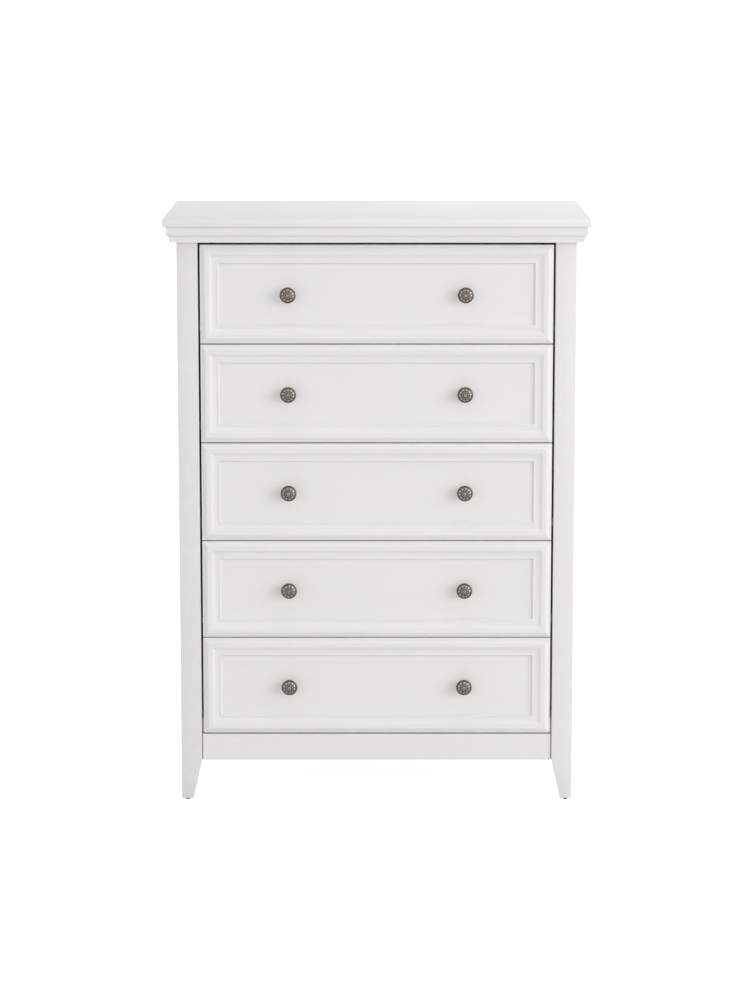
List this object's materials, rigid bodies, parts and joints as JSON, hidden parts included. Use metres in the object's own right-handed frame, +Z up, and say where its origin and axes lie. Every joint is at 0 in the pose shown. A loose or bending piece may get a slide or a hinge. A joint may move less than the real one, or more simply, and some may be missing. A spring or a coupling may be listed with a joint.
{
  "type": "tall chest of drawers",
  "caption": "Tall painted chest of inset drawers with moulded fronts, round pewter knobs, a moulded crown under a slab top and tapered feet.",
  "frame": {"origin": "on the floor, under the centre of the top's outline", "axes": "+Z up, -Y the front where the drawers come out, +X the right-hand side seen from the front"},
  "size_m": [0.8, 0.4, 1.125],
  "materials": {
    "painted_wood": "satin warm white paint",
    "drawer_wood": "clear sealed pale softwood",
    "hardboard": "smooth brown hardboard",
    "slide_steel": "zinc plated sheet steel",
    "knob_metal": "antique pewter plate over cast metal"
  },
  "bodies": {
    "carcass": {"top_panel": "painted_wood", "crown_moulding_front": "painted_wood", "crown_moulding_left": "painted_wood", "crown_moulding_right": "painted_wood", "front_post_left": "painted_wood", "front_post_right": "painted_wood", "rear_post_left": "painted_wood", "rear_post_right": "painted_wood", "side_panel_left": "painted_wood", "side_panel_right": "painted_wood", "front_apron": "painted_wood", "front_top_rail": "painted_wood", "rear_top_rail": "painted_wood", "rear_bottom_rail": "painted_wood", "back_panel": "hardboard", "slide_channel_1_left": "slide_steel", "slide_channel_1_right": "slide_steel", "slide_channel_2_left": "slide_steel", "slide_channel_2_right": "slide_steel", "slide_channel_3_left": "slide_steel", "slide_channel_3_right": "slide_steel", "slide_channel_4_left": "slide_steel", "slide_channel_4_right": "slide_steel", "slide_channel_5_left": "slide_steel", "slide_channel_5_right": "slide_steel"},
    "drawer_1": {"drawer_1_front": "painted_wood", "drawer_1_side_left": "drawer_wood", "drawer_1_side_right": "drawer_wood", "drawer_1_back": "drawer_wood", "drawer_1_bottom": "hardboard", "drawer_1_knob_left": "knob_metal", "drawer_1_knob_right": "knob_metal"},
    "drawer_2": {"drawer_2_front": "painted_wood", "drawer_2_side_left": "drawer_wood", "drawer_2_side_right": "drawer_wood", "drawer_2_back": "drawer_wood", "drawer_2_bottom": "hardboard", "drawer_2_knob_left": "knob_metal", "drawer_2_knob_right": "knob_metal"},
    "drawer_3": {"drawer_3_front": "painted_wood", "drawer_3_side_left": "drawer_wood", "drawer_3_side_right": "drawer_wood", "drawer_3_back": "drawer_wood", "drawer_3_bottom": "hardboard", "drawer_3_knob_left": "knob_metal", "drawer_3_knob_right": "knob_metal"},
    "drawer_4": {"drawer_4_front": "painted_wood", "drawer_4_side_left": "drawer_wood", "drawer_4_side_right": "drawer_wood", "drawer_4_back": "drawer_wood", "drawer_4_bottom": "hardboard", "drawer_4_knob_left": "knob_metal", "drawer_4_knob_right": "knob_metal"},
    "drawer_5": {"drawer_5_front": "painted_wood", "drawer_5_side_left": "drawer_wood", "drawer_5_side_right": "drawer_wood", "drawer_5_back": "drawer_wood", "drawer_5_bottom": "hardboard", "drawer_5_knob_left": "knob_metal", "drawer_5_knob_right": "knob_metal"}
  },
  "joints": [
    {"name": "drawer_1_slide", "type": "slide", "parent": "carcass", "child": "drawer_1", "axis": [0, -1, 0], "range_m": [0, 0.24]},
    {"name": "drawer_2_slide", "type": "slide", "parent": "carcass", "child": "drawer_2", "axis": [0, -1, 0], "range_m": [0, 0.24]},
    {"name": "drawer_3_slide", "type": "slide", "parent": "carcass", "child": "drawer_3", "axis": [0, -1, 0], "range_m": [0, 0.24]},
    {"name": "drawer_4_slide", "type": "slide", "parent": "carcass", "child": "drawer_4", "axis": [0, -1, 0], "range_m": [0, 0.24]},
    {"name": "drawer_5_slide", "type": "slide", "parent": "carcass", "child": "drawer_5", "axis": [0, -1, 0], "range_m": [0, 0.24]}
  ]
}
